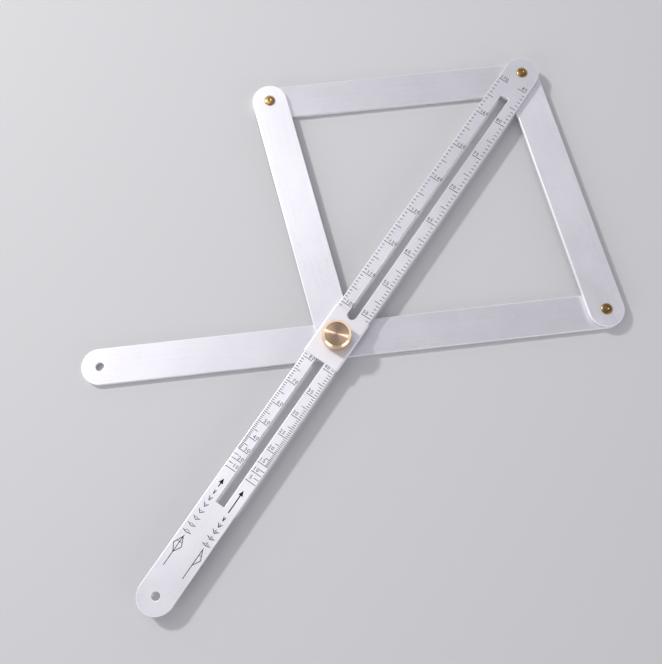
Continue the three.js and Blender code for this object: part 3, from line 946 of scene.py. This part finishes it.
def satin_aluminium(name, tint, seed, streak=1.0, blast=1.0, matt=0.4):
    """Streaks are noise about eighty times longer than wide. Scuffs are the thin places where a
    second noise crosses one half, kept only in patches. Specks are the middles of a few scattered
    cells."""
    material, tree, out = new_finish(name)
    flat = flat_place(tree)
    shift = (seed * 37.0, seed * 11.0, seed * 5.0)
    long_streaks = noise(flat, 1.0, 3.0, 0.6, (0.03, 2.6, 1), shift)
    hair_streaks = noise(flat, 1.0, 2.0, 0.6, (0.12, 9.0, 1), shift)
    clouds = noise(flat, 0.05, 3.0, 0.55, shift=shift)
    grain = noise(flat, 5.0, 2.0, 0.7, shift=shift)
    crossing = noise(flat, 0.16, 4.0, 0.62, (1, 2.2, 1), shift)
    thin = math_of("ABSOLUTE", math_of("SUBTRACT", crossing, 0.5))
    patch = noise(flat, 0.11, 1.0, 0.5, shift=(seed * 3.0, 9.0, 0))
    patch = ranged(patch, 0.52, 0.62)
    scuff = times(ranged(thin, 0.0, 0.004, 1.0, 0.0), patch)
    laid = add(tree, "Mapping", {"Vector": flat, "Location": shift}).outputs[0]
    cells = add(tree, "TexVoronoi", {"Vector": laid, "Scale": 0.42})
    draw = add(tree, "SeparateColor", {"Color": cells.outputs["Color"]}).outputs[0]
    chosen = ranged(draw, 0.80, 0.82)
    speck = times(ranged(cells.outputs["Distance"], 0.02, 0.05, 1.0, 0.0), chosen)
    marks = math_of("MAXIMUM", times(scuff, 0.5), times(speck, 0.45))
    edge = add(tree, "Attribute", attribute_name="edge_wear").outputs["Fac"]
    uneven = noise(flat, 0.12, 2.0, 0.5, shift=shift)
    worn = times(edge, ranged(uneven, 0.3, 0.7, 0.75, 1.0))
    deep = tuple(c * 0.93 for c in tint) + (1.0,)
    body = mixed(ranged(clouds, 0.3, 0.7), deep, (*tint, 1.0))
    light = tuple(min(1.0, c * 1.09) for c in tint) + (1.0,)
    body = mixed(times(ranged(long_streaks, 0.35, 0.75), 0.5 * streak), body, light)
    body = mixed(marks, body, MARK_TINT)
    body = mixed(times(worn, 0.7), body, WORN_TINT)
    rough = ranged(long_streaks, 0.3, 0.7, matt - 0.05 * streak, matt + 0.05 * streak)
    rough = plus(rough, ranged(clouds, 0.3, 0.7, -0.02, 0.03))
    rough = plus(rough, times(worn, 0.06))
    relief = plus(times(hair_streaks, 0.6 * streak), times(grain, 0.8 * blast))
    relief = math_of("SUBTRACT", relief, times(marks, 2.0))
    bump = bumped(relief, 0.35, 0.006)
    grain_way = add(tree, "Tangent", direction_type="UV_MAP", uv_map="flat_mm").outputs[0]
    surface(tree, out, {"Base Color": body, "Metallic": 0.56, "Roughness": rough, "Normal": bump,
                        "Anisotropic": 0.5, "Anisotropic Rotation": 0.25, "Tangent": grain_way})
    return material


BAR_TINT = (0.80, 0.79, 0.835)
SCALE_TINT = (0.83, 0.82, 0.865)
CURSOR_TINT = (0.80, 0.78, 0.825)
bar_seeds = {"fine_top_link": 1, "fine_left_link": 2, "fine_right_link": 3, "fine_long_arm": 4}
for bar, seed in bar_seeds.items():
    coat(bar, satin_aluminium("satin_" + bar, BAR_TINT, seed))
coat("fine_scale_bar", satin_aluminium("satin_scale", SCALE_TINT, 5, streak=0.6))
coat("fine_cursor", satin_aluminium("satin_cursor", CURSOR_TINT, 6, streak=0.35, matt=0.5))
print("satin aluminium on", len(bar_seeds) + 2, "pieces")

# %% [markdown]
# ## Printing ink
# The ink is a near black, matt enamel, thinner in places so that the metal greys it.

# %% Ink
ink, tree, out = new_finish("scale_ink")
flat = flat_place(tree)
thin_ink = ranged(noise(flat, 1.6, 3.0, 0.6), 0.35, 0.75)
fine_grain = noise(flat, 14.0, 2.0, 0.6)
ink_colour = mixed(thin_ink, (0.006, 0.006, 0.008, 1), (0.028, 0.028, 0.034, 1))
ink_bump = bumped(fine_grain, 0.3, 0.004)
matt = ranged(fine_grain, 0.3, 0.7, 0.66, 0.78)
surface(tree, out, {"Base Color": ink_colour, "Roughness": matt, "Normal": ink_bump,
                    "Specular IOR Level": 0.12})
coat("scale_print", ink)
print("ink ready")

# %% [markdown]
# ## Brass
# Three brasses are on the tool. The rivets have dulled to a golden brown, the nut's knurl and bevel
# are bright, and the nut's face shows the fine rings of the lathe, which pull the light into one
# streak. Each rivet's colour is also scaled lighter or darker as painted light, for how the light
# falls on it.

# %% Brass finishes
def brass(name, bright, dull, matt, dulling, seed):
    """Bright metal with duller patches where noise is high, finer tool marks along one direction,
    and roughness that follows both."""
    material, tree, out = new_finish(name)
    flat = flat_place(tree)
    patches = noise(flat, 0.9, 4.0, 0.65, (1, 1, 1), (seed * 7.0, seed * 3.0, 0))
    fine = noise(flat, 6.0, 3.0, 0.65, (1, 1, 1), (seed * 5.0, 0, 0))
    share = times(ranged(patches, 0.35, 0.65), dulling)
    colour = mixed(share, (*bright, 1.0), (*dull, 1.0))
    rough = plus(ranged(fine, 0.3, 0.7, matt - 0.05, matt + 0.06), times(share, 0.12))
    bump = bumped(fine, 0.35, 0.01)
    surface(tree, out, {"Base Color": colour, "Metallic": 1.0, "Roughness": rough, "Normal": bump})
    return material


def turned_face(name, bright, dull):
    """Brass faced on a lathe. The rings are noise that changes only with the distance from the
    middle, which is the second coordinate of the flat map. The shine is stretched across the rings
    by the shader's anisotropy, whose direction runs round the axis, as the first coordinate
    does."""
    material, tree, out = new_finish(name)
    flat = flat_place(tree)
    rings = noise(flat, 1.0, 3.0, 0.7, (0.0, 14.0, 0.0))
    wide_rings = noise(flat, 1.0, 2.0, 0.5, (0.02, 2.5, 0.0))
    colour = mixed(ranged(wide_rings, 0.3, 0.7), (*bright, 1.0), (*dull, 1.0))
    rough = ranged(rings, 0.3, 0.7, 0.31, 0.37)
    bump = bumped(rings, 0.25, 0.01)
    way = add(tree, "Tangent", direction_type="UV_MAP", uv_map="flat_mm").outputs[0]
    surface(tree, out, {"Base Color": colour, "Metallic": 1.0, "Roughness": rough, "Normal": bump,
                        "Anisotropic": 1.0, "Anisotropic Rotation": 0.25, "Tangent": way})
    return material


# Painted light: each rivet's brass is scaled by its own factor, brighter on the left rivet and darker
# on the top and right ones, for how the light falls on each, not for any difference in the brass.
rivet_painted_light = {"fine_top_rivet": 0.82, "fine_left_rivet": 1.15, "fine_right_rivet": 0.7}
for seed, (rivet, shade) in enumerate(rivet_painted_light.items(), 1):
    bright = tuple(c * shade for c in (0.54, 0.35, 0.14))
    dull = tuple(c * shade for c in (0.28, 0.18, 0.08))
    coat(rivet, brass("rivet_brass_painted_light_" + str(seed), bright, dull, 0.28, 0.9, seed))
coat("fine_thumb_nut", brass("nut_brass", (0.93, 0.71, 0.48), (0.76, 0.52, 0.30), 0.12, 0.4, 4),
     turned_face("nut_face_brass", (0.66, 0.47, 0.34), (0.56, 0.39, 0.28)))
coat("fine_clamp_washer",
     brass("washer_brass", (0.74, 0.57, 0.30), (0.55, 0.39, 0.17), 0.28, 0.6, 5))
print("brass ready")

# %% [markdown]
# ## Pieces kept from the measured model
# The screw and the shims between the bars are small and mostly hidden, and their shapes are right
# as they are. They have no flat map, so their finishes read the place in space, which never slides
# for a piece that stays at the origin.

# %% Screw and shims
def small_part(name, colour, second, metallic, matt, scale):
    """A finish on Object coordinates, in metres: soft patches between two close colours, and
    grain."""
    material, tree, out = new_finish(name)
    place = add(tree, "TexCoord").outputs["Object"]
    patches = noise(place, 0.25 * scale, 3.0, 0.6)
    grain = noise(place, scale, 2.0, 0.6)
    body = mixed(ranged(patches, 0.35, 0.65), (*colour, 1.0), (*second, 1.0))
    bump = bumped(grain, 0.3, 0.01)
    surface(tree, out, {"Base Color": body, "Metallic": metallic, "Normal": bump,
                        "Roughness": ranged(grain, 0.3, 0.7, matt - 0.05, matt + 0.07)})
    return material


screw_finish = small_part("screw_brass", (0.74, 0.57, 0.30), (0.58, 0.42, 0.2), 1.0, 0.3, 3000.0)
shim_finish = small_part("shim_nylon", (0.80, 0.79, 0.74), (0.72, 0.71, 0.66), 0.0, 0.55, 2500.0)
for node, piece in frame["nodes"].items():
    if node == "clamp_screw" or node.endswith(("_shim", "_shim_lower", "_shim_upper")):
        piece.data.materials.clear()
        piece.data.materials.append(screw_finish if node == "clamp_screw" else shim_finish)
print("kept pieces finished")

# %% [markdown]
# ## Floor, light and camera
# A plain pale table shows the tool best. One soft key light stands up to the side and gives the
# short shadows. A wide panel overhead is there for the metal to reflect, because satin metal looks
# like whatever hangs over it. Two low panels, narrow in spread, light the edges that face them, and
# a dim surround keeps the shadows open.

# %% Floor
FLOOR_HALF, FLOOR_DROP = 3.0, 0.0001
floor_mesh = bpy.data.meshes.new("table_top")
floor_mesh.from_pydata([(x * FLOOR_HALF, y * FLOOR_HALF, -FLOOR_DROP) for x, y in SQUARE],
                       [], [(0, 1, 2, 3)])
floor = into_scene("table_top", floor_mesh)
floor_finish, tree, out = new_finish("table_paint")
surface(tree, out, {"Base Color": (0.57, 0.57, 0.58, 1), "Roughness": 0.75})
floor_mesh.materials.append(floor_finish)

# %% Lights
def panel(name, place, aim, size, watts, colour, spread=180.0):
    """A square soft light in metres, turned so that it shines from place to aim. A small spread
    keeps its light off the table beside it."""
    light = bpy.data.lights.new(name, "AREA")
    light.shape = "SQUARE"
    light.size = size
    light.energy = watts
    light.spread = np.radians(spread)
    light.color = colour
    holder = into_scene(name, light)
    way = np.array(place, float) - np.array(aim, float)
    back = way / np.linalg.norm(way)
    right = np.cross([0.0, 1.0, 0.0], back)
    right /= np.linalg.norm(right)
    up = np.cross(back, right)
    turn = np.column_stack([right, up, back])
    holder.matrix_world = Matrix([[*turn[i], place[i]] for i in range(3)] + [[0, 0, 0, 1]])


middle = (0.13, 0.0, 0.0)
panel("key", (0.14, -0.95, 0.80), middle, 0.10, 8.4, (1.0, 0.985, 0.96))
panel("overhead", (0.05, -0.48, 0.80), middle, 0.66, 1.6, (0.97, 0.97, 1.0))
panel("low_right", (0.20, 0.88, 0.40), middle, 0.66, 0.28, (1.0, 1.0, 1.0), 70.0)
panel("low_front", (0.96, -0.20, 0.40), middle, 0.66, 0.28, (1.0, 1.0, 1.0), 70.0)
surround = bpy.data.worlds.new("surround")
surround.use_nodes = True
sky = surround.node_tree
direction = add(sky, "TexCoord").outputs["Generated"]
height = add(sky, "SeparateXYZ", {"Vector": direction}).outputs["Z"]
glow = ranged(height, 0.32, 0.58, 1.15, 0.32)
sky.nodes["Background"].inputs[0].default_value = (0.93, 0.93, 1.0, 1.0)
sky.links.new(glow, sky.nodes["Background"].inputs[1])
bpy.context.scene.world = surround
print("five lights: key, overhead, two low panels and the surround")

# %% Camera
camera_data = bpy.data.cameras.new("camera")
camera_data.sensor_width = 36.0
camera_data.lens = 46.07
camera_data.clip_start = 0.01
camera = into_scene("camera", camera_data)
eye = np.array([222.688, 45.312, 340.944]) * MM
right = np.array([-0.56094, 0.82782, 0.00734])
up = np.array([-0.79828, -0.54325, 0.26005])
back = np.cross(right, up)
camera.matrix_world = Matrix([[right[i], up[i], back[i], eye[i]] for i in range(3)]
                             + [[0, 0, 0, 1]])
bpy.context.scene.camera = camera
bpy.context.scene.view_settings.view_transform = "Standard"
print("camera looks down along", (-back).round(3))
